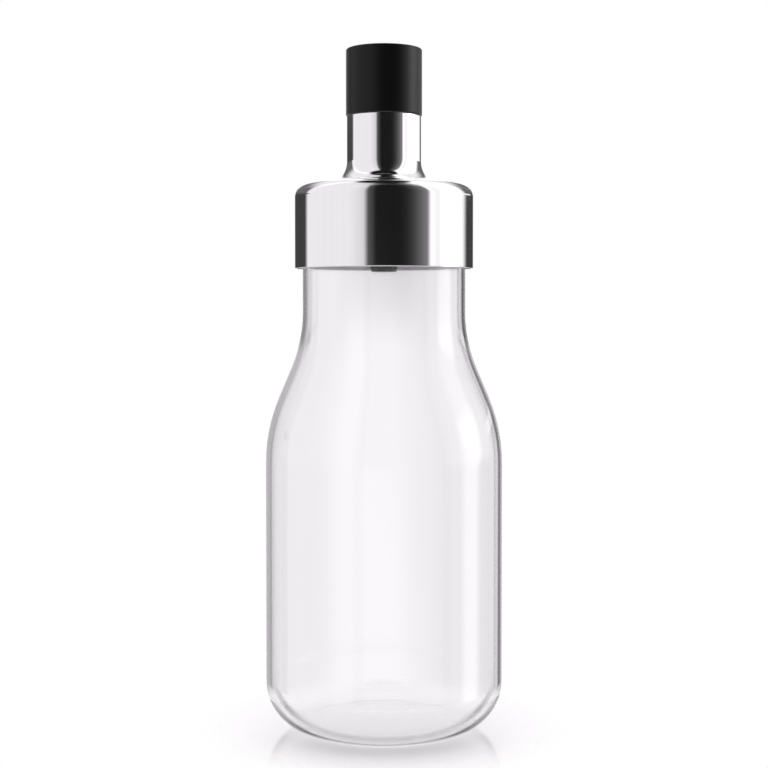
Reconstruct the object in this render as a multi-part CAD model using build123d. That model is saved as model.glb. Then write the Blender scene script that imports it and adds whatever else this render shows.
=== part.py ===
from build123d import *
import os
from math import radians, sin, sqrt, tan

# Salad dressing shaker: a blown glass bottle, a steel lid on a rubber-lipped stopper, and a
# black cap that pulls off the pouring spout. Millimetres, +Z up. The origin lies on the surface
# that the bottle stands on, under its centre. Every piece is round about the upright axis, and
# only the strainer has slots.

# Clearances
fit_gap = 0.05            # between round faces of pieces that are pushed together
moving_gap = 0.1          # between faces that slide past or come to rest on each other

# Glass bottle
bottle_height = 156.0
body_radius = 35.0
neck_radius = 24.0
glass_wall = 1.8
base_thickness = 2.1
base_corner = 14.3        # outer rounding between the wall and the base
neck_length = 41.4        # from the rim down to where the shoulder's slope meets the neck's line
shoulder_slope = 23.0     # degrees from upright, on the straight part of the shoulder
shoulder_curve = 50.0     # outer rounding from the body into the shoulder
neck_curve = 42.0         # outer hollow from the shoulder into the neck
straight_slope_share = 0.1   # least part of the slope that its two roundings leave straight
foot_ring = 3.2           # flat ring that the bottle stands on
punt_rise = 1.5           # of the base's middle, inside the ring
rim_rounding_share = 0.45

# Steel shell of the lid
shell_wall = 0.6
collar_gap = 1.75         # between the glass neck and the inside of the collar
collar_height = 24.8
collar_corner = 4.0
collar_edge_rounding = 0.2
steel_neck_radius = 10.95
steel_neck_height = 19.8  # above the collar's top
steel_neck_root = 6.8

# Rubber seal in the glass neck
seal_sleeve = 0.8
seal_flange_thickness = 1.3
seal_flange_overhang = 2.2   # of the flange past the bore of the neck
seal_edge_rounding = 0.3
lip_count = 3
lip_reach = 0.9
lip_root = 1.7
lip_tip = 0.5
lip_sweep = 0.5           # the tips point up the neck by this much

# Stopper core
core_flange_thickness = 2.5
plug_length = 19.4
plug_wall = 2.0
bead_height = 3.0         # holds the rubber sleeve up on the plug
bead_rounding = 0.8
strainer_ledge = 0.8
bell_roof = 1.9           # from the flange's underside down to the edge of the bell
bell_rise = 2.2
bell_rounding = 3.0
boss_wall = 1.75
boss_root = 3.0

# Pouring spout
spout_wall = 1.3
spout_height = 16.0       # above the steel neck
spout_tube_wall = 1.9
spout_tube_length = 12.0
spout_tube_end_gap = 0.2
spout_shoulder_height = 4.1
spout_root = 0.6
lip_flare = 1.7           # inside widening at the pouring lip
lip_flare_height = 3.3
lip_edge = 0.6
lip_edge_height = 0.3
lip_curve = 3.0

# Rubber ring on the spout
ring_groove_depth = 1.0
ring_groove_width = 1.6
ring_depth = 5.4          # of its middle, below the shoulder

# Vent tube
vent_radius = 2.0
vent_wall = 0.8
vent_foot_radius = 4.0
vent_foot_height = 2.9
vent_foot_rounding = 0.8
vent_top_gap = 8.3        # below the cap's plug

# Strainer
strainer_recess = 0.6
strainer_thickness = 1.5
strainer_rim_wall = 1.6
strainer_hub_wall = 2.6
strainer_hub_rise = 2.9   # above the plate
strainer_hub_drop = 1.0   # below the plate
slot_count = 10
slot_width = 2.2
slot_margin = 1.0         # of solid plate between a slot and the hub or the rim

# Cap
cap_wall = 1.6
cap_top = 2.0
cap_gap = 0.2             # over the steel neck
cap_lip_gap = 0.7         # round the pouring lip
cap_top_rounding = 0.5
cap_edge_rounding = 0.3
post_radius = 2.6
post_head = 0.6           # widening of the post's head
post_head_height = 1.4
post_length = 7.3

# Rubber plug in the cap
plug_flange_thickness = 1.6
plug_flange_inset = 0.5   # of the plug's flange from the cap's wall
plug_rib_count = 2
plug_rib_reach = 0.35
plug_rib_height = 0.9
plug_rib_pitch = 2.0
plug_end_thickness = 2.4
plug_end_rounding = 0.8
lowest_rib_rise = 2.0

# Radii that follow
punt_radius = body_radius - base_corner - foot_ring
neck_bore = neck_radius - glass_wall
collar_bore = neck_radius + collar_gap
collar_radius = collar_bore + shell_wall
steel_neck_bore = steel_neck_radius - shell_wall
lip_radius = neck_bore - moving_gap
sleeve_radius = lip_radius - lip_reach
plug_radius = sleeve_radius - seal_sleeve
strainer_bore = plug_radius - plug_wall
bell_radius = strainer_bore - strainer_ledge
boss_radius = steel_neck_bore - fit_gap
boss_bore = boss_radius - boss_wall
spout_tube_radius = boss_bore - fit_gap
spout_bore = spout_tube_radius - spout_tube_wall
ring_groove_radius = spout_tube_radius - ring_groove_depth
ring_section = boss_bore - ring_groove_radius - fit_gap
spout_radius = spout_bore + spout_wall
pouring_lip_bore = spout_bore + lip_flare
pouring_lip_radius = pouring_lip_bore + lip_edge
cap_bore = pouring_lip_radius + cap_lip_gap
cap_radius = cap_bore + cap_wall

# Heights that follow, from the glass rim up
seal_flange_bottom = bottle_height + moving_gap
core_flange_bottom = seal_flange_bottom + seal_flange_thickness
collar_ceiling = core_flange_bottom + core_flange_thickness
collar_top = collar_ceiling + shell_wall
collar_bottom = collar_top - collar_height
steel_neck_top = collar_top + steel_neck_height
boss_top = steel_neck_top - spout_shoulder_height
boss_seat = boss_top - spout_tube_length
spout_top = steel_neck_top + spout_height
cap_bottom = steel_neck_top + cap_gap
cap_ceiling = spout_top + moving_gap + plug_flange_thickness
post_end = cap_ceiling - post_length
cap_plug_end = post_end - plug_end_thickness

# Heights that follow, down into the glass neck
plug_bottom = core_flange_bottom - plug_length
sleeve_bottom = plug_bottom + bead_height
strainer_bottom = plug_bottom + strainer_recess
vent_foot_top = strainer_bottom - strainer_hub_drop
vent_foot_bottom = vent_foot_top - vent_foot_height
vent_top = cap_plug_end - vent_top_gap


def turned(corners):
    """Round piece from a closed outline, where a corner is its radius, height and rounding."""
    points = [(radius, height) for radius, height, rounding in corners]
    roundings = [rounding for radius, height, rounding in corners]
    outline = FilletPolyline(points, radius=roundings, close=True)
    return revolve(Plane.XZ * make_face(outline), axis=Axis.Z)


def raised_floor(height):
    """Half outline of the base's raised middle: two arcs that leave and meet the level."""
    middle = (punt_radius / 2, height + punt_rise / 2)
    crown = TangentArc((0, height + punt_rise), middle, tangent=(1, 0))
    foot = TangentArc((punt_radius, height), middle, tangent=(-1, 0))
    return crown + foot


def glass_bottle():
    """Blown glass of an even wall, thicker in the base, with a fire-rounded rim."""
    bend = tan(radians(shoulder_slope / 2))
    draw_in = body_radius - neck_radius
    slope_top = bottle_height - neck_length
    slope_bottom = slope_top - draw_in / tan(radians(shoulder_slope))
    room = draw_in / sin(radians(shoulder_slope)) * (1 - straight_slope_share)
    ease = min(1, room / (shoulder_curve + neck_curve) / bend)
    outer_curve = shoulder_curve * ease
    outer_hollow = neck_curve * ease
    inner_drop = glass_wall * bend
    rim_rounding = glass_wall * rim_rounding_share
    wall = FilletPolyline(
        (punt_radius, 0),
        (body_radius, 0),
        (body_radius, slope_bottom),
        (neck_radius, slope_top),
        (neck_radius, bottle_height),
        (neck_bore, bottle_height),
        (neck_bore, slope_top - inner_drop),
        (body_radius - glass_wall, slope_bottom - inner_drop),
        (body_radius - glass_wall, base_thickness),
        (punt_radius, base_thickness),
        radius=[
            base_corner,
            outer_curve,
            outer_hollow,
            rim_rounding,
            rim_rounding,
            outer_hollow + glass_wall,
            outer_curve - glass_wall,
            base_corner - glass_wall,
        ],
    )
    middle = Line((0, punt_rise), (0, punt_rise + base_thickness))
    outline = wall + raised_floor(0) + raised_floor(base_thickness) + middle
    return revolve(Plane.XZ * make_face(outline), axis=Axis.Z)


def lid_shell():
    """Steel drawn from one sheet into a collar, a rounded shoulder and the pouring neck."""
    inner_corner = collar_corner - shell_wall
    inner_root = steel_neck_root + shell_wall
    return turned([
        (collar_bore, collar_bottom, 0),
        (collar_radius, collar_bottom, collar_edge_rounding),
        (collar_radius, collar_top, collar_corner),
        (steel_neck_radius, collar_top, steel_neck_root),
        (steel_neck_radius, steel_neck_top, 0),
        (steel_neck_bore, steel_neck_top, 0),
        (steel_neck_bore, collar_ceiling, inner_root),
        (collar_bore, collar_ceiling, inner_corner),
    ])


def stopper_core():
    """Moulded core: flange under the steel, bell-shaped plug in the glass, boss in the neck."""
    inner_corner = collar_corner - shell_wall
    slant = min(core_flange_thickness, inner_corner)
    flange_inset = inner_corner - sqrt(inner_corner**2 - (inner_corner - slant)**2)
    flange_radius = collar_bore - flange_inset - fit_gap
    bell_edge = core_flange_bottom - bell_roof
    return turned([
        (strainer_bore, plug_bottom, 0),
        (sleeve_radius, plug_bottom, bead_rounding),
        (sleeve_radius, sleeve_bottom - fit_gap, 0),
        (plug_radius, sleeve_bottom - fit_gap, 0),
        (plug_radius, core_flange_bottom, 0),
        (flange_radius, core_flange_bottom, 0),
        (collar_bore - inner_corner, collar_ceiling, 0),
        (boss_radius, collar_ceiling, boss_root),
        (boss_radius, boss_top, 0),
        (boss_bore, boss_top, 0),
        (boss_bore, boss_seat, 0),
        (spout_bore, boss_seat, 0),
        (spout_bore, bell_edge + bell_rise, bell_rounding),
        (bell_radius, bell_edge, bell_rounding),
        (bell_radius, sleeve_bottom, 0),
        (strainer_bore, sleeve_bottom, 0),
    ])


def neck_seal():
    """Rubber sleeve with a flange on the glass rim and lips that wipe the bore of the neck."""
    inside = plug_radius + fit_gap
    lip_pitch = (seal_flange_bottom - sleeve_bottom) / lip_count
    corners = [(inside, sleeve_bottom, 0), (sleeve_radius, sleeve_bottom, 0)]
    for lip in range(lip_count):
        root = sleeve_bottom + (lip + 1 / 2) * lip_pitch
        tip = root + lip_sweep
        corners += [
            (sleeve_radius, root - lip_root / 2, 0),
            (lip_radius, tip - lip_tip / 2, 0),
            (lip_radius, tip + lip_tip / 2, 0),
            (sleeve_radius, root + lip_root / 2, 0),
        ]
    flange_radius = neck_bore + seal_flange_overhang
    corners += [
        (sleeve_radius, seal_flange_bottom, 0),
        (flange_radius, seal_flange_bottom, seal_edge_rounding),
        (flange_radius, core_flange_bottom, 0),
        (inside, core_flange_bottom, 0),
    ]
    return turned(corners)


def strainer():
    """Slotted disc clipped into the plug, with a hub that carries the vent tube."""
    plate_top = strainer_bottom + strainer_thickness
    rim_radius = strainer_bore - fit_gap
    rim_inside = rim_radius - strainer_rim_wall
    hub_bore = vent_radius + fit_gap
    hub_radius = hub_bore + strainer_hub_wall
    disc = turned([
        (hub_bore, vent_foot_top, 0),
        (hub_radius, vent_foot_top, 0),
        (hub_radius, strainer_bottom, 0),
        (rim_radius, strainer_bottom, 0),
        (rim_radius, sleeve_bottom, 0),
        (rim_inside, sleeve_bottom, 0),
        (rim_inside, plate_top, 0),
        (hub_radius, plate_top, 0),
        (hub_radius, plate_top + strainer_hub_rise, 0),
        (hub_bore, plate_top + strainer_hub_rise, 0),
    ])
    inner_end = hub_radius + slot_margin
    outer_end = rim_inside - slot_margin
    slot = Pos((inner_end + outer_end) / 2, 0) * SlotOverall(outer_end - inner_end, slot_width)
    slots = Sketch() + [turn * slot for turn in PolarLocations(0, slot_count)]
    lift = Pos(0, 0, strainer_bottom - strainer_thickness)
    return disc - lift * extrude(slots, strainer_thickness * 3)


def vent_tube():
    """Air tube up the middle of the spout, on a round foot that shows under the collar."""
    vent_bore = vent_radius - vent_wall
    return turned([
        (vent_bore, vent_foot_bottom, 0),
        (vent_foot_radius, vent_foot_bottom, vent_foot_rounding),
        (vent_foot_radius, vent_foot_top, 0),
        (vent_radius, vent_foot_top, 0),
        (vent_radius, vent_top, 0),
        (vent_bore, vent_top, 0),
    ])


def pour_spout():
    """Spout pushed into the boss, level with the steel neck, up to a thin flared lip."""
    groove_middle = boss_top - ring_depth
    tube_end = boss_seat + spout_tube_end_gap
    flare_bottom = spout_top - lip_flare_height
    return turned([
        (spout_bore, tube_end, 0),
        (spout_tube_radius, tube_end, 0),
        (spout_tube_radius, groove_middle - ring_groove_width / 2, 0),
        (ring_groove_radius, groove_middle - ring_groove_width / 2, 0),
        (ring_groove_radius, groove_middle + ring_groove_width / 2, 0),
        (spout_tube_radius, groove_middle + ring_groove_width / 2, 0),
        (spout_tube_radius, boss_top, 0),
        (boss_radius, boss_top, 0),
        (boss_radius, steel_neck_top, 0),
        (spout_radius, steel_neck_top, spout_root),
        (spout_radius, flare_bottom + lip_edge, lip_curve),
        (pouring_lip_radius, spout_top - lip_edge_height, 0),
        (pouring_lip_radius, spout_top, 0),
        (pouring_lip_bore, spout_top, 0),
        (spout_bore, flare_bottom, lip_curve),
    ])


def spout_ring():
    """Rubber ring in the spout's groove, against the bore of the boss."""
    ring_radius = (ring_groove_radius + boss_bore) / 2
    section = Pos(ring_radius, boss_top - ring_depth) * Circle(ring_section / 2)
    return revolve(Plane.XZ * section, axis=Axis.Z)


def cap_shell():
    """Black cap with a headed post inside its top, on which the rubber plug is held."""
    cap_end = cap_ceiling + cap_top
    head_radius = post_radius + post_head
    head_top = post_end + post_head_height
    return turned([
        (0, cap_end, 0),
        (0, post_end, 0),
        (head_radius, post_end, 0),
        (head_radius, head_top, 0),
        (post_radius, head_top, 0),
        (post_radius, cap_ceiling, 0),
        (cap_bore, cap_ceiling, 0),
        (cap_bore, cap_bottom, 0),
        (cap_radius, cap_bottom, cap_edge_rounding),
        (cap_radius, cap_end, cap_top_rounding),
    ])


def cap_plug():
    """Rubber plug: a flange over the pouring lip and two ribs that close the spout's bore."""
    socket_radius = post_radius + fit_gap
    socket_head = post_radius + post_head + fit_gap
    socket_end = post_end - fit_gap
    head_top = post_end + post_head_height + fit_gap
    rib_radius = spout_bore - moving_gap
    stem_radius = rib_radius - plug_rib_reach
    flange_bottom = spout_top + moving_gap
    flange_radius = cap_bore - plug_flange_inset
    corners = [
        (0, socket_end, 0),
        (0, cap_plug_end, 0),
        (stem_radius, cap_plug_end, plug_end_rounding),
    ]
    for rib in range(plug_rib_count):
        middle = cap_plug_end + lowest_rib_rise + rib * plug_rib_pitch
        corners += [
            (stem_radius, middle - plug_rib_height / 2, 0),
            (rib_radius, middle, 0),
            (stem_radius, middle + plug_rib_height / 2, 0),
        ]
    corners += [
        (stem_radius, flange_bottom, 0),
        (flange_radius, flange_bottom, seal_edge_rounding),
        (flange_radius, cap_ceiling - fit_gap, 0),
        (socket_radius, cap_ceiling - fit_gap, 0),
        (socket_radius, head_top, 0),
        (socket_head, head_top, 0),
        (socket_head, socket_end, 0),
    ]
    return turned(corners)


pieces = {
    "glass_bottle": glass_bottle,
    "lid_shell": lid_shell,
    "stopper_core": stopper_core,
    "neck_seal": neck_seal,
    "strainer": strainer,
    "vent_tube": vent_tube,
    "pour_spout": pour_spout,
    "spout_ring": spout_ring,
    "cap_shell": cap_shell,
    "cap_plug": cap_plug,
}

os.makedirs("parts", exist_ok=True)
for name, make in pieces.items():
    export_step(make(), f"parts/{name}.step")
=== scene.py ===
import bmesh
import bpy
from math import ceil, degrees, pi, radians, tan
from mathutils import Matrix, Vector


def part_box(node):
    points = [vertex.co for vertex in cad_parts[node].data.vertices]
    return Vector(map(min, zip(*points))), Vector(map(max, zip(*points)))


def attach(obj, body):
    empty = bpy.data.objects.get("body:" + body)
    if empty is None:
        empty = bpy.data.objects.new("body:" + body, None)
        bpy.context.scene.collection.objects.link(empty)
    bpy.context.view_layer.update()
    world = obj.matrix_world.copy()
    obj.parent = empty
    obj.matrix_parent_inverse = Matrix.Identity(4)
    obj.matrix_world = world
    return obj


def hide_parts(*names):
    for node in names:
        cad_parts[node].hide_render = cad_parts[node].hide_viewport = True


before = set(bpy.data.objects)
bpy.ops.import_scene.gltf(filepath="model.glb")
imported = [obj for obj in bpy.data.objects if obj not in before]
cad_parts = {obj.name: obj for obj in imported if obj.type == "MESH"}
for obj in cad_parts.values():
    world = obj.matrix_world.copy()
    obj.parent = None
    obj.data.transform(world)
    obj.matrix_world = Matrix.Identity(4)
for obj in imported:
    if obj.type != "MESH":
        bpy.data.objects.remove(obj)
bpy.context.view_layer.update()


# Glass bottle. One piece of clear glass, blown in a mould: thin in the wall and thicker in the
# base, whose middle is pushed up into a low round swell. The rim is melted round by a flame, and
# nothing is fixed to the glass: the lid pushes into its neck.
bottle_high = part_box("glass_bottle")[1]
body_radius = bottle_high.x
rim_height = bottle_high.z
neck_radius = 0.024
glass_wall = 0.0018
glass_base = 0.0021
base_corner = 0.0143
foot_ring = 0.0032
swell_rise = 0.0015
neck_length = 0.0414
shoulder_slope = radians(23)
shoulder_curve = 0.05
neck_curve = 0.042
rim_rounding = 0.00081
round_steps = 192
fine_turn = radians(4)            # between the points of a rounding
small_turn = radians(15)          # the same, where the rounding is a small one
small_rounding = 0.001
weld = 1e-7                       # distance at which two points are one
crease = radians(35)              # an edge that turns more stays sharp


def rounded(shape, last, before, here, after, rounding):
    """Adds one corner to an outline: a point, or an arc that meets both sides smoothly."""
    arriving = (here - before).normalized()
    leaving = (after - here).normalized()
    turn = arriving.angle(leaving)
    reach = rounding * tan(turn / 2)
    point = shape.verts.new(here - arriving * reach)
    if last:
        shape.edges.new((last, point))
    if rounding:
        axis = arriving.cross(leaving).normalized()
        steps = ceil(turn / (fine_turn if rounding > small_rounding else small_turn))
        arc = bmesh.ops.spin(
            shape, geom=[point], cent=point.co + axis.cross(arriving) * rounding,
            axis=axis, angle=turn, steps=steps, use_merge=False)
        point = next(v for v in arc["geom_last"] if isinstance(v, bmesh.types.BMVert))
    return point


def turned(name, corners):
    """A round piece: an outline of (radius, height, rounding) corners, spun about the axis."""
    shape = bmesh.new()
    points = [Vector((radius, 0, height)) for radius, height, rounding in corners]
    first = last = None
    for place, (radius, height, rounding) in enumerate(corners):
        before = points[place - 1]
        after = points[(place + 1) % len(points)]
        if radius == 0:
            point = shape.verts.new(points[place])
            if last:
                shape.edges.new((last, point))
            last = point
        else:
            start = len(shape.verts)
            last = rounded(shape, last, before, points[place], after, rounding)
            shape.verts.ensure_lookup_table()
            first = first or shape.verts[start]
    if all(radius for radius, height, rounding in corners):
        shape.edges.new((last, first))
    bmesh.ops.spin(
        shape, geom=shape.verts[:] + shape.edges[:], cent=(0, 0, 0), axis=(0, 0, 1),
        angle=2 * pi, steps=round_steps, use_merge=True)
    bmesh.ops.remove_doubles(shape, verts=shape.verts, dist=weld)
    bmesh.ops.recalc_face_normals(shape, faces=shape.faces)
    return finished(name, shape)


def finished(name, shape):
    """Makes the shape an object with smooth faces, sharp where it turns by more than a crease."""
    mesh = bpy.data.meshes.new(name)
    shape.to_mesh(mesh)
    shape.free()
    mesh.shade_smooth()
    mesh.set_sharp_from_angle(angle=crease)
    piece = bpy.data.objects.new(name, mesh)
    bpy.context.scene.collection.objects.link(piece)
    level = piece.modifiers.new("even_shading", "WEIGHTED_NORMAL")
    level.keep_sharp = True
    return piece


class Value:
    """A number that varies over a surface. Sums with it add Math nodes."""

    def __init__(self, finish, socket):
        self.finish = finish
        self.socket = socket

    def maths(self, operation, *numbers):
        return self.finish.node("Math", {"operation": operation}, dict(enumerate(numbers)))

    def __add__(self, other):
        return self.maths("ADD", self, other)

    def __radd__(self, other):
        return self.maths("ADD", other, self)

    def __sub__(self, other):
        return self.maths("SUBTRACT", self, other)

    def __rsub__(self, other):
        return self.maths("SUBTRACT", other, self)

    def __mul__(self, other):
        return self.maths("MULTIPLY", self, other)

    def __rmul__(self, other):
        return self.maths("MULTIPLY", other, self)

    def eased(self, low, high):
        """0 below low, 1 above high, and a smooth rise between them."""
        return self.finish.node(
            "MapRange", {"interpolation_type": "SMOOTHSTEP"},
            {"Value": self, "From Min": low, "From Max": high})

    def faded(self, low, high):
        """1 below low, 0 above high, and a smooth fall between them."""
        return 1 - self.eased(low, high)

    def between(self, rise, fall):
        """0, then 1 after the rise, then 0 again after the fall."""
        return self.eased(*rise) * self.faded(*fall)


class Finish:
    """The nodes of a material or of the world."""

    def __init__(self, owner):
        self.owner = owner
        owner.use_nodes = True
        self.tree = owner.node_tree
        self.tree.nodes.clear()

    def node(self, kind, settings, sockets, out=0):
        """Adds a node: its settings first, then the values or links of its sockets."""
        made = self.tree.nodes.new("ShaderNode" + kind)
        for name, setting in settings.items():
            setattr(made, name, setting)
        for name, value in sockets.items():
            if isinstance(value, Value):
                self.tree.links.new(value.socket, made.inputs[name])
            else:
                made.inputs[name].default_value = value
        return Value(self, made.outputs[out])

    def place(self):
        return self.node("TexCoord", {}, {}, "Object")

    def along(self, axis):
        """How far along an axis a point lies."""
        return self.node("SeparateXYZ", {}, {0: self.place()}, axis)

    def out(self):
        """How far from the upright axis a point lies."""
        level = self.node("VectorMath", {"operation": "MULTIPLY"}, {0: self.place(), 1: (1, 1, 0)})
        return self.node("VectorMath", {"operation": "LENGTH"}, {0: level}, "Value")

    def cloud(self, scale, detail=2, stretch=(1, 1, 1)):
        """Soft noise with so many lumps to the metre, stretched along the axes."""
        spot = self.node("Mapping", {}, {"Vector": self.place(), "Scale": stretch})
        return self.node("TexNoise", {}, {"Vector": spot, "Scale": scale, "Detail": detail})

    def blend(self, share, low, high):
        """A colour between two colours."""
        return self.node(
            "Mix", {"data_type": "RGBA"}, {"Factor": share, "A": low, "B": high}, "Result")

    def mixed(self, share, low, high):
        """A shader between two shaders."""
        return self.node("MixShader", {}, {0: share, 1: low, 2: high})

    def bumps(self, height, depth):
        return self.node("Bump", {}, {"Height": height, "Distance": depth}, "Normal")

    def surface(self, shader):
        end = self.tree.nodes.new("ShaderNodeOutputMaterial")
        self.tree.links.new(shader.socket, end.inputs["Surface"])
        return self.owner


def finish(name):
    return Finish(bpy.data.materials.new(name))


def grey(level):
    return (level, level, level, 1)


corner_reach = (0.021, 0.03)      # out from the axis, into the base's rounded corner
corner_height = (0.004, 0.014)    # and up out of it
corner_painted_edge_facing = (0.65, 0.74)      # from face on to edge on, where the corner's painted dark outline comes in
# painted shade: the colour of the corner's dark outline, where it is seen edge on
corner_edge_painted_shade = 0.0
# painted shade: where the neck's dark outline lies, when it is seen edge on, and how dark it is
# painted
neck_height = (0.1105, 0.1155)
neck_reach = (0.0222, 0.0232)     # out from the axis, from the neck's bore to its outside
neck_painted_edge_facing = (0.62, 0.74)
neck_edge_painted_shade = 0.28
glass_shade = 0.985
wall_turns = 2.5                  # reflections after which a ray is let out of the wall
corner_turns = 1.0                # and how many more it takes in the base
wall_share = 0.993                # of soft light that each face of the wall lets through
base_share = 0.93                 # the same for the base
front_share = 0.6                 # and for the front of its corner
base_reach = (-0.03, 0.01)        # towards the camera's side, into the dimmer base
front_reach = (0.004, 0.026)      # and into the front of its corner


def clear_glass():
    """Colourless glass whose blown wall wavers very slightly. Painted shade darkens its colour
    where the neck and the base's corner are seen edge on, as dark outlines. It dims soft light,
    most at the front of the base, and lets out the rays that its wall would lead on and on."""
    glass = finish("clear_glass")
    height = glass.along("Z")
    front = 0 - glass.along("Y")
    out = glass.out()
    low = height.faded(*corner_height)
    corner = out.eased(*corner_reach) * low
    neck = height.eased(*neck_height) * out.eased(*neck_reach)
    edge = glass.node("LayerWeight", {}, {"Blend": 0.5}, "Facing")
    tone_and_painted_edges = glass.blend(glass.cloud(scale=9, detail=0), grey(glass_shade), grey(1.0))
    # painted shade: the glass's colour is darkened where the neck and the base's corner are seen
    # edge on, drawn as dark outlines
    tone_and_painted_edges = glass.blend(edge.eased(*neck_painted_edge_facing) * neck, tone_and_painted_edges, grey(neck_edge_painted_shade))
    tone_and_painted_edges = glass.blend(edge.eased(*corner_painted_edge_facing) * corner, tone_and_painted_edges, grey(corner_edge_painted_shade))
    waver = glass.cloud(scale=22, detail=1, stretch=(1, 1, 0.35))
    body = glass.node("BsdfPrincipled", {}, {
        "Base Color": tone_and_painted_edges,
        "Roughness": 0.0,
        "IOR": 1.5,
        "Transmission Weight": 1.0,
        "Normal": glass.bumps(waver, depth=0.00002),
    })
    wall_light, base_light, front_light = (
        glass.node("BsdfTransparent", {}, {"Color": grey(share)})
        for share in (wall_share, base_share, front_share))
    led_on = glass.node("LightPath", {}, {}, "Glossy Depth")
    led_on = led_on.maths("GREATER_THAN", led_on, wall_turns + low * corner_turns)
    bent = glass.mixed(led_on, body, wall_light)
    dimmed = glass.mixed(low * front.eased(*base_reach), wall_light, base_light)
    dimmed = glass.mixed(corner * front.eased(*front_reach), dimmed, front_light)
    soft = glass.node("LightPath", {}, {}, "Is Diffuse Ray")
    return glass.surface(glass.mixed(soft, bent, dimmed))


swell_radius = body_radius - base_corner - foot_ring
swell_half = swell_radius / 2
swell_slant = swell_half ** 2 + (swell_rise / 2) ** 2
swell_reach = swell_slant / (2 * swell_half)
swell_curve = swell_slant / swell_rise
slope_top = rim_height - neck_length
slope_bottom = slope_top - (body_radius - neck_radius) / tan(shoulder_slope)
inner_drop = glass_wall * tan(shoulder_slope / 2)
glass_bottle = turned("bottle_glass", [
    (0, swell_rise, 0),
    (swell_reach, swell_rise, swell_curve),
    (swell_radius - swell_reach, 0, swell_curve),
    (body_radius, 0, base_corner),
    (body_radius, slope_bottom, shoulder_curve),
    (neck_radius, slope_top, neck_curve),
    (neck_radius, rim_height, rim_rounding),
    (neck_radius - glass_wall, rim_height, rim_rounding),
    (neck_radius - glass_wall, slope_top - inner_drop, neck_curve + glass_wall),
    (body_radius - glass_wall, slope_bottom - inner_drop, shoulder_curve - glass_wall),
    (body_radius - glass_wall, glass_base, base_corner - glass_wall),
    (swell_radius - swell_reach, glass_base, swell_curve),
    (swell_reach, glass_base + swell_rise, swell_curve),
    (0, glass_base + swell_rise, 0),
])
glass_bottle.data.materials.append(clear_glass())
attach(glass_bottle, "bottle")
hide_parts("glass_bottle")


# Steel shell of the lid. Drawn from one stainless sheet into a collar, a rounded shoulder and the
# pouring neck, its hem turned smooth, and polished on a wheel to a mirror. It is pressed over the
# black core below, which holds it.
shell_low, shell_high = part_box("lid_shell")
collar_radius = shell_high.x
collar_bottom = shell_low.z
steel_neck_top = shell_high.z
steel_wall = 0.0006
collar_height = 0.0248
collar_corner = 0.004
steel_neck_radius = 0.01095
steel_neck_root = 0.0068
hem_rounding = 0.0002
rim_edge_rounding = 0.00015
collar_top = collar_bottom + collar_height
steel_shades = (0.8, 0.86)
mirror_roughness = 0.045
wisp_roughness = 0.03             # that the wheel's wisps add
smear_roughness = 0.015
sheet_roughness = 0.4             # of the unpolished sheet inside


def polished_steel():
    """Mirror polish outside, with the fine upright wisps that the wheel leaves. The inside of
    the collar keeps the dull skin of the drawn sheet."""
    steel = finish("polished_steel")
    wisps = steel.cloud(scale=900, detail=3, stretch=(1, 1, 0.02))
    smears = steel.cloud(scale=60, detail=2, stretch=(1, 1, 0.4))
    skin = collar_radius - steel_wall
    inside = steel.out().faded(skin + steel_wall / 4, skin + steel_wall / 2)
    dull = inside * steel.along("Z").faded(collar_top - collar_corner, collar_top - steel_wall)
    shine = mirror_roughness + wisp_roughness * wisps + smear_roughness * smears
    return steel.surface(steel.node("BsdfPrincipled", {}, {
        "Base Color": steel.blend(wisps, *map(grey, steel_shades)),
        "Metallic": 1.0,
        "Roughness": shine + sheet_roughness * dull,
        "Normal": steel.bumps(wisps, depth=0.0000004),
    }))


lid_shell = turned("steel_lid", [
    (collar_radius - steel_wall, collar_bottom, hem_rounding),
    (collar_radius, collar_bottom, hem_rounding),
    (collar_radius, collar_top, collar_corner),
    (steel_neck_radius, collar_top, steel_neck_root),
    (steel_neck_radius, steel_neck_top, rim_edge_rounding),
    (steel_neck_radius - steel_wall, steel_neck_top, rim_edge_rounding),
    (steel_neck_radius - steel_wall, collar_top - steel_wall, steel_neck_root + steel_wall),
    (collar_radius - steel_wall, collar_top - steel_wall, collar_corner - steel_wall),
])
lid_shell.data.materials.append(polished_steel())
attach(lid_shell, "lid")
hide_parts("lid_shell")


# Stopper core. A black plastic moulding inside the steel: a flange over the glass rim, a
# bell-shaped plug down in the glass neck, and a boss up in the steel neck that takes the spout.
core_low, core_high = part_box("stopper_core")
plug_bottom = core_low.z
flange_radius = core_high.x
boss_top = core_high.z
plug_length = 0.0194
flange_thickness = 0.0025
flange_top_radius = 0.02235
sleeve_radius = 0.0212
plug_radius = 0.0204
bead_height = 0.00295
bead_rounding = 0.0008
strainer_bore = 0.0184
bell_radius = 0.0176
ledge_height = 0.003
bell_roof = 0.0019
bell_rise = 0.0022
bell_rounding = 0.003
boss_radius = 0.0103
boss_bore = 0.00855
boss_root = 0.003
boss_depth = 0.012
pour_bore = 0.0066
mould_edge = 0.00015
flow_contrast = 0.15
grain_roughness = 0.1
flow_roughness = 0.04


def black_plastic(name, level, roughness, grain):
    """Moulded black plastic: a fine spark-eroded grain and faint flow marks."""
    plastic = finish(name)
    fine = plastic.cloud(scale=grain, detail=3)
    flow = plastic.cloud(scale=70, detail=2, stretch=(1, 1, 0.3))
    dark, pale = grey(level * (1 - flow_contrast)), grey(level * (1 + flow_contrast))
    return plastic.surface(plastic.node("BsdfPrincipled", {}, {
        "Base Color": plastic.blend(flow, dark, pale),
        "Roughness": roughness + grain_roughness * fine + flow_roughness * flow,
        "Specular IOR Level": 0.4,
        "Normal": plastic.bumps(fine, depth=0.00001),
    }))


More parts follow.
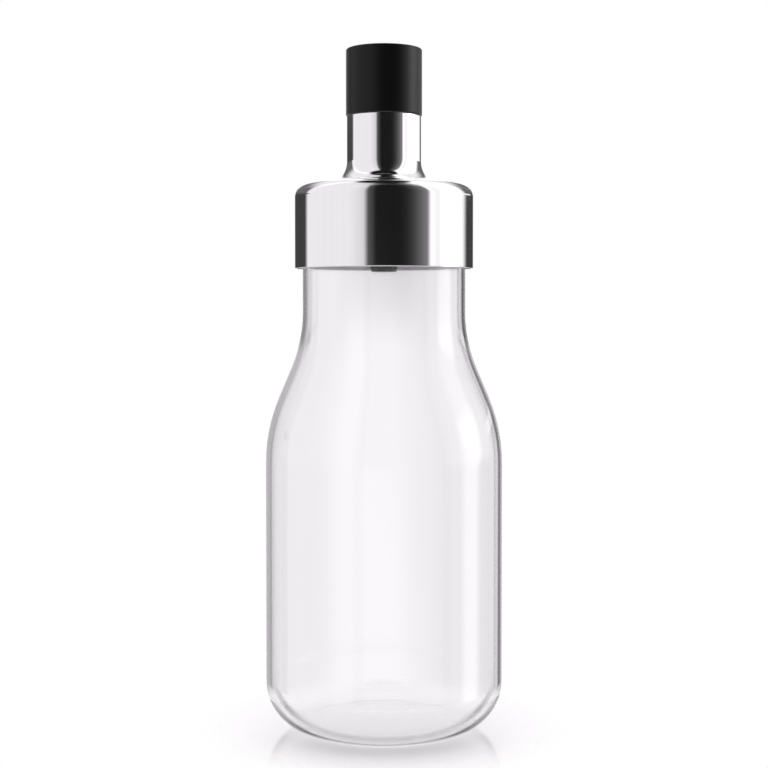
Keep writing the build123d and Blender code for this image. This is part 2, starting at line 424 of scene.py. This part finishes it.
flange_bottom = plug_bottom + plug_length
flange_top = flange_bottom + flange_thickness
bell_edge = flange_bottom - bell_roof
stopper_core = turned("stopper_core_moulding", [
    (strainer_bore, plug_bottom, mould_edge),
    (sleeve_radius, plug_bottom, bead_rounding),
    (sleeve_radius, plug_bottom + bead_height, mould_edge),
    (plug_radius, plug_bottom + bead_height, mould_edge),
    (plug_radius, flange_bottom, mould_edge),
    (flange_radius, flange_bottom, mould_edge),
    (flange_top_radius, flange_top, mould_edge),
    (boss_radius, flange_top, boss_root),
    (boss_radius, boss_top, mould_edge),
    (boss_bore, boss_top, mould_edge),
    (boss_bore, boss_top - boss_depth, mould_edge),
    (pour_bore, boss_top - boss_depth, mould_edge),
    (pour_bore, bell_edge + bell_rise, bell_rounding),
    (bell_radius, bell_edge, bell_rounding),
    (bell_radius, plug_bottom + ledge_height, mould_edge),
    (strainer_bore, plug_bottom + ledge_height, mould_edge),
])
stopper_core.data.materials.append(
    black_plastic("core_plastic", level=0.012, roughness=0.38, grain=5200))
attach(stopper_core, "lid")
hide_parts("stopper_core")


# Neck seal. A dark silicone sleeve stretched over the plug and held up by its bead. Three thin
# lips sweep up and wipe the bore of the glass neck, and its flange cushions the lid on the rim.
seal_low, seal_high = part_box("neck_seal")
seal_bottom = seal_low.z
seal_top = seal_high.z
seal_flange_radius = seal_high.x
seal_bore = 0.02045
seal_flange_thickness = 0.0013
seal_edge = 0.0003
lip_radius = 0.0221
lip_count = 3
lip_root = 0.0017
lip_tip = 0.0005
lip_sweep = 0.0005
lip_edge = 0.00012
bare_shade = 0.8                  # of silicone with no bloom, to its usual colour
bloom_shade = 1.25
silicone_roughness = 0.42
bloom_roughness = 0.16


def silicone(name, level):
    """Moulded silicone: satin, with a faint dusty bloom."""
    rubber = finish(name)
    bloom = rubber.cloud(scale=350, detail=3)
    fine = rubber.cloud(scale=6500, detail=1)
    return rubber.surface(rubber.node("BsdfPrincipled", {}, {
        "Base Color": rubber.blend(bloom, grey(level * bare_shade), grey(level * bloom_shade)),
        "Roughness": silicone_roughness + bloom_roughness * bloom,
        "Specular IOR Level": 0.4,
        "Normal": rubber.bumps(fine, depth=0.000006),
    }))


seal_flange_bottom = seal_top - seal_flange_thickness
lip_pitch = (seal_flange_bottom - seal_bottom) / lip_count
lips = []
for lip in range(lip_count):
    root = seal_bottom + (lip + 1 / 2) * lip_pitch
    tip = root + lip_sweep
    lips += [
        (sleeve_radius, root - lip_root / 2, lip_edge),
        (lip_radius, tip - lip_tip / 2, lip_edge),
        (lip_radius, tip + lip_tip / 2, lip_edge),
        (sleeve_radius, root + lip_root / 2, lip_edge),
    ]
neck_seal = turned("neck_seal_sleeve", [
    (seal_bore, seal_bottom, 0),
    (sleeve_radius, seal_bottom, lip_edge),
    *lips,
    (sleeve_radius, seal_flange_bottom, lip_edge),
    (seal_flange_radius, seal_flange_bottom, seal_edge),
    (seal_flange_radius, seal_top, seal_edge),
    (seal_bore, seal_top, 0),
])
neck_seal.data.materials.append(silicone("seal_rubber", level=0.035))
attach(neck_seal, "lid")
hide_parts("neck_seal")


# Strainer. A black plastic disc with ten slots that keeps herbs and garlic back. Its rim clips
# under the plug's ledge, and its hub grips the vent tube. The edges of its slots are eased.
slot_edge = 0.00018
flat_limit = radians(3)           # faces that turn less are merged into one


def eased_copy(name, node, edge):
    """A copy of a CAD node, merged to whole faces, with every sharp edge eased before shading."""
    shape = bmesh.new()
    shape.from_mesh(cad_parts[node].data)
    bmesh.ops.remove_doubles(shape, verts=shape.verts, dist=weld)
    bmesh.ops.dissolve_limit(
        shape, angle_limit=flat_limit, verts=shape.verts, edges=shape.edges)
    piece = finished(name, shape)
    ease = piece.modifiers.new("eased_edges", "BEVEL")
    ease.width = edge
    ease.segments = 2
    ease.limit_method = "ANGLE"
    ease.angle_limit = crease
    piece.modifiers.move(1, 0)
    return piece


strainer = eased_copy("strainer_disc", "strainer", slot_edge)
strainer.data.materials.clear()
strainer.data.materials.append(
    black_plastic("strainer_plastic", level=0.014, roughness=0.36, grain=5200))
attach(strainer, "lid")
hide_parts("strainer")


# Vent tube. A slim black tube up the middle of the spout that lets air back in as the dressing
# pours. Its rounded foot shows under the collar, as a small dark nub in the glass neck.
vent_low, vent_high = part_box("vent_tube")
vent_foot_radius = vent_high.x
vent_foot_height = 0.0029
vent_foot_rounding = 0.0008
vent_radius = 0.002
vent_bore = 0.0012
vent_tube = turned("vent_pipe", [
    (vent_bore, vent_low.z, mould_edge),
    (vent_foot_radius, vent_low.z, vent_foot_rounding),
    (vent_foot_radius, vent_low.z + vent_foot_height, mould_edge),
    (vent_radius, vent_low.z + vent_foot_height, mould_edge),
    (vent_radius, vent_high.z, mould_edge),
    (vent_bore, vent_high.z, mould_edge),
])
vent_tube.data.materials.append(
    black_plastic("tube_plastic", level=0.012, roughness=0.16, grain=2500))
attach(vent_tube, "lid")
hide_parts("vent_tube")


# Pouring spout and its ring. The spout is a black moulding pushed down into the core's boss until
# its shoulder is level with the steel, with a thin flared lip that cuts off drips. A rubber ring
# in a groove of its tube seals it in the boss.
spout_low, spout_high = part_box("pour_spout")
ring_low, ring_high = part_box("spout_ring")
spout_shoulder_height = 0.0041
spout_radius = 0.0079
spout_root = 0.0006
tube_radius = 0.0085
groove_radius = 0.0075
groove_width = 0.0016
lip_flare_height = 0.0033
lip_thickness = 0.0006
lip_edge_height = 0.0003
lip_curve = 0.003
mouth_radius = 0.0083
lip_rounding = 0.0001
groove_middle = (ring_low.z + ring_high.z) / 2
flare_bottom = spout_high.z - lip_flare_height
pour_spout = turned("pouring_spout", [
    (pour_bore, spout_low.z, mould_edge),
    (tube_radius, spout_low.z, mould_edge),
    (tube_radius, groove_middle - groove_width / 2, lip_rounding),
    (groove_radius, groove_middle - groove_width / 2, lip_rounding),
    (groove_radius, groove_middle + groove_width / 2, lip_rounding),
    (tube_radius, groove_middle + groove_width / 2, lip_rounding),
    (tube_radius, boss_top, mould_edge),
    (boss_radius, boss_top, mould_edge),
    (boss_radius, boss_top + spout_shoulder_height, mould_edge),
    (spout_radius, boss_top + spout_shoulder_height, spout_root),
    (spout_radius, flare_bottom + lip_thickness, lip_curve),
    (mouth_radius + lip_thickness, spout_high.z - lip_edge_height, lip_rounding),
    (mouth_radius + lip_thickness, spout_high.z, lip_rounding),
    (mouth_radius, spout_high.z, lip_rounding),
    (pour_bore, flare_bottom, lip_curve),
])
pour_spout.data.materials.append(
    black_plastic("spout_plastic", level=0.012, roughness=0.2, grain=3500))
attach(pour_spout, "lid")
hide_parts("pour_spout")

ring_straight = 0.001             # of the ring's round section that is left straight
ring_section = (ring_high.z - ring_low.z) / 2
ring_edge = ring_section * (1 - ring_straight)
spout_ring = turned("spout_seal_ring", [
    (ring_high.x - 2 * ring_section, ring_low.z, ring_edge),
    (ring_high.x, ring_low.z, ring_edge),
    (ring_high.x, ring_high.z, ring_edge),
    (ring_high.x - 2 * ring_section, ring_high.z, ring_edge),
])
spout_ring.data.materials.append(silicone("ring_rubber", level=0.03))
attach(spout_ring, "lid")
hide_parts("spout_ring")


# Cap. A satin black moulding that pulls off the spout, with a headed post inside its top. The
# grey silicone plug buttons onto the post's head and closes the spout with two ribs.
cap_low, cap_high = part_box("cap_shell")
cap_plug_low, cap_plug_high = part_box("cap_plug")
cap_radius = cap_high.x
cap_wall = 0.0016
cap_roof = 0.002
cap_top_rounding = 0.0005
cap_edge_rounding = 0.0003
post_radius = 0.0026
post_head = 0.0006
post_head_height = 0.0014
post_length = 0.0073
stem_radius = 0.00615
rib_radius = 0.0065
rib_height = 0.0009
rib_rise = 0.002
rib_pitch = 0.002
rib_count = 2
plug_flange_thickness = 0.00155
plug_end_rounding = 0.0008
socket_gap = 0.00005
cap_shades = (0.0016, 0.003)
cap_roughness = 0.3
cap_grain_roughness = 0.06
patch_roughness = 0.03


def satin_cap():
    """Black soft-touch plastic: a fine even grain that spreads its highlight."""
    satin = finish("cap_plastic")
    fine = satin.cloud(scale=4200, detail=4)
    patchy = satin.cloud(scale=110, detail=2)
    return satin.surface(satin.node("BsdfPrincipled", {}, {
        "Base Color": satin.blend(patchy, *map(grey, cap_shades)),
        "Roughness": cap_roughness + cap_grain_roughness * fine + patch_roughness * patchy,
        "Specular IOR Level": 0.19,
        "Sheen Weight": 0.4,
        "Sheen Roughness": 0.3,
        "Normal": satin.bumps(fine, depth=0.000012),
    }))


cap_ceiling = cap_high.z - cap_roof
post_end = cap_ceiling - post_length
cap_shell = turned("cap_moulding", [
    (0, cap_high.z, 0),
    (0, post_end, 0),
    (post_radius + post_head, post_end, mould_edge),
    (post_radius + post_head, post_end + post_head_height, mould_edge),
    (post_radius, post_end + post_head_height, mould_edge),
    (post_radius, cap_ceiling, mould_edge),
    (cap_radius - cap_wall, cap_ceiling, mould_edge),
    (cap_radius - cap_wall, cap_low.z, mould_edge),
    (cap_radius, cap_low.z, cap_edge_rounding),
    (cap_radius, cap_high.z, cap_top_rounding),
])
cap_shell.data.materials.append(satin_cap())
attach(cap_shell, "cap")
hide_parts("cap_shell")

ribs = []
for rib in range(rib_count):
    rib_middle = cap_plug_low.z + rib_rise + rib * rib_pitch
    ribs += [
        (stem_radius, rib_middle - rib_height / 2, lip_rounding),
        (rib_radius, rib_middle, lip_rounding),
        (stem_radius, rib_middle + rib_height / 2, lip_rounding),
    ]
plug_flange_bottom = cap_plug_high.z - plug_flange_thickness
socket_radius = post_radius + socket_gap
socket_end = post_end - socket_gap
socket_shoulder = post_end + post_head_height + socket_gap
cap_plug = turned("cap_plug_rubber", [
    (0, socket_end, 0),
    (0, cap_plug_low.z, 0),
    (stem_radius, cap_plug_low.z, plug_end_rounding),
    *ribs,
    (stem_radius, plug_flange_bottom, mould_edge),
    (cap_plug_high.x, plug_flange_bottom, seal_edge),
    (cap_plug_high.x, cap_plug_high.z, mould_edge),
    (socket_radius, cap_plug_high.z, mould_edge),
    (socket_radius, socket_shoulder, 0),
    (socket_radius + post_head, socket_shoulder, 0),
    (socket_radius + post_head, socket_end, 0),
])
cap_plug.data.materials.append(silicone("plug_rubber", level=0.26))
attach(cap_plug, "cap")
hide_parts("cap_plug")


# Floor. White glossy board that the bottle stands on. Only its part near the bottle holds the
# soft shadow and the faint reflection, and further out it passes over into the white backdrop.
board_radius = 0.3
board_steps = 96
board_drop = 0.00002              # below the bottle's foot, so that the two don't share a face
board_edge = (0.034, 0.058)       # from the axis, where the board passes over into white
board = bmesh.new()
bmesh.ops.create_circle(board, cap_ends=True, segments=board_steps, radius=board_radius)
bmesh.ops.translate(board, verts=board.verts, vec=(0, 0, -board_drop))
floor = finished("floor_board", board)


def white_board():
    """Glossy white near the bottle and clear further out."""
    white = finish("white_board")
    near = white.node("BsdfPrincipled", {}, {
        "Base Color": grey(0.98),
        "Roughness": 0.08,
        "Specular IOR Level": 0.2,
    })
    far = white.node("BsdfTransparent", {}, {})
    return white.surface(white.mixed(white.out().eased(*board_edge), near, far))


floor.data.materials.append(white_board())


# Studio. Soft even light all round. Steel and glass reflect a pale panel on the left, a bright one
# on the right and white paper behind, with black card between. Lit paper with dark cards beside it
# is seen through the glass. Angles are in degrees, round from the camera's side or up from level.
left_edge = (-121, -112)          # pale panel on the left
left_inner_edge = (-27, -19)
left_fade = (-46, -24)
left_loss = 0.2
left_level = 0.91
left_lean = 6
tail_fall = (-20, -8)             # its faint end, towards the camera
tail_level = 0.08
low_left_level = 0.72             # its foot, below the horizon
low_inner_edge = (6, 62)
low_slant = 33
slant_fall = (5, 12)
right_inner_edge = (56, 63)       # bright panel on the right
right_edge = (117, 133)
right_rise = (62, 84)
right_loss = 0.13
right_level = 1.17
right_lean = 20
low_right_level = 0.2
core_rise = (75, 87)              # its brightest strip
core_fall = (101, 113)
core_height = (3, 9)
core_fade = (14, 26)
core_loss = 0.65
core_level = 3.2
low_core_level = 2.4
low_core_turn = 6
lean_rise = (4.75, 5)             # heights between which the panels' far edges lean
lean_fall = (7.6, 9)
panel_top = (68, 74)
paper_edge = (160, 168)           # white paper behind
paper_level = 1.0
card_edge = (100, 120)            # black card beside it, paler further up
card_level = 0.045
card_rise = (4.5, 14)
card_gain = 0.1
card_top = (26, 46)
card_ceiling = 0.85
dark_level = 0.013
glow_rise = (3, 68)               # faint glow from the front to the bright panel
glow_fall = (60, 74)
front_glow = 0.29
horizon = (-6, 1.5)
table_fall = (14, 20)             # white table below
table_level = 0.9
paper_spacing = 90                # lit paper on four sides, seen through the glass
papers_added = 2.5                # so that no angle is below zero
lit_level = 0.885
hot_middle = 0.65                 # bright strip up the paper
hot_reach = (1, 4.6)
hot_level = 0.115
left_card = (14, 24), (33, 43)    # dark cards beside it
left_card_depth = 0.35
right_card = (-33, -28), (-22, -18)
right_card_depth = 0.81
upper_fall = (-2.2, 2.2)
upper_loss = 0.22
right_side = (-1, 2)
right_upper_loss = 0.1
echo_level = 0.9                  # of rays led to and fro in the glass
echo_turns = 3.5
half_count = 0.5                  # parts one whole count of bounces from the next
studio_tint = (1, 0.972, 1, 1)
world = bpy.data.worlds.new("studio")
bpy.context.scene.world = world
world.cycles.sampling_method = "NONE"
studio = Finish(world)
direction = studio.node("TexCoord", {}, {}, "Generated")
right, ahead, up = (studio.node("SeparateXYZ", {}, {0: direction}, axis) for axis in "XYZ")
round_angle = right.maths("ARCTAN2", right, 0 - ahead) * degrees(1)
height_angle = up.maths("ARCSINE", up) * degrees(1)
drop_angle = 0 - height_angle
table = drop_angle.eased(*table_fall)
low = height_angle.faded(*horizon)
lean = height_angle.between(lean_rise, lean_fall)

pale = round_angle.faded(*left_inner_edge) * (1 - round_angle.eased(*left_fade) * left_loss)
pale = pale * left_level + round_angle.faded(*tail_fall) * tail_level
slanted = round_angle + drop_angle.faded(*slant_fall) * low_slant
low_pale = slanted.faded(*low_inner_edge) * low_left_level
pale = (pale + low * (low_pale - pale)) * (round_angle - lean * left_lean).eased(*left_edge)
bright = (round_angle - lean * right_lean).faded(*right_edge)
bright = bright * round_angle.eased(*right_inner_edge) * right_level
bright = bright * (1 - round_angle.faded(*right_rise) * right_loss)
core = round_angle.eased(*core_rise) * (round_angle + low * low_core_turn).faded(*core_fall)
core = core * (low_core_level + height_angle.eased(*core_height) * (core_level - low_core_level))
core = core * (1 - height_angle.eased(*core_fade) * core_loss)
off_front = round_angle.maths("ABSOLUTE", round_angle)
card = height_angle.eased(*card_rise) * card_gain + height_angle.eased(*card_top) * card_ceiling
card = off_front.eased(*card_edge) * (card + card_level)
paper = off_front.eased(*paper_edge) * paper_level
glow = round_angle.eased(*glow_rise)
glow = glow * glow * glow * round_angle.faded(*glow_fall) * front_glow
panels = pale + bright * (1 - low * (1 - low_right_level)) + core + card + paper + glow
panels = panels * height_angle.faded(*panel_top) + dark_level
reflected = panels * (1 - table) + table * table_level

side_angle = round_angle.maths(
    "MODULO", round_angle + papers_added * paper_spacing, paper_spacing) - paper_spacing / 2
hot_side = side_angle - hot_middle
hot = hot_side.maths("ABSOLUTE", hot_side).faded(*hot_reach)
upper = height_angle.eased(*upper_fall)
lit = lit_level + hot * (hot_level - upper * upper_loss)
lit = lit - upper * (0 - side_angle).eased(*right_side) * right_upper_loss
cards = side_angle.between(*left_card) * left_card_depth
cards = cards + side_angle.between(*right_card) * right_card_depth
lit = lit * (1 - cards * (1 - table))

path = {name: studio.node("LightPath", {}, {}, name) for name in (
    "Is Camera Ray", "Is Transmission Ray", "Diffuse Depth", "Glossy Depth", "Transmission Depth")}
seen = path["Is Camera Ray"]
scattered = seen.maths("GREATER_THAN", path["Diffuse Depth"], half_count)
plain = seen.maths("MAXIMUM", seen, scattered)
bounces = path["Glossy Depth"] * path["Transmission Depth"]
echo = seen.maths("GREATER_THAN", bounces, echo_turns)
through = lit + echo * (echo_level - lit)
let_out = path["Glossy Depth"] - (wall_turns + half_count)
let_out = 1 - let_out.maths("ABSOLUTE", let_out)
passed = seen.maths("MAXIMUM", path["Is Transmission Ray"], let_out)
strength = plain + (1 - plain) * (passed * through + (1 - passed) * reflected)
sky = studio.node("Background", {}, {
    "Strength": strength, "Color": studio.blend(seen, studio_tint, grey(1.0))})
world_end = studio.tree.nodes.new("ShaderNodeOutputWorld")
studio.tree.links.new(sky.socket, world_end.inputs["Surface"])


# Camera. It looks at the bottle's front from just above its middle, through a long lens. It is
# turned a little down, with its frame shifted a little down, so that the sides stay near upright.
camera_distance = 0.4445
camera_height = 0.1235
camera_tilt = radians(1.83)
camera_lens = 70.53
frame_shift = -0.0336
camera = bpy.data.objects.new("camera", bpy.data.cameras.new("camera"))
bpy.context.scene.collection.objects.link(camera)
bpy.context.scene.camera = camera
camera.location = (0, -camera_distance, camera_height)
camera.rotation_euler = (pi / 2 - camera_tilt, 0, 0)
camera.data.lens = camera_lens
camera.data.shift_y = frame_shift
bpy.context.scene.view_settings.view_transform = "Standard"
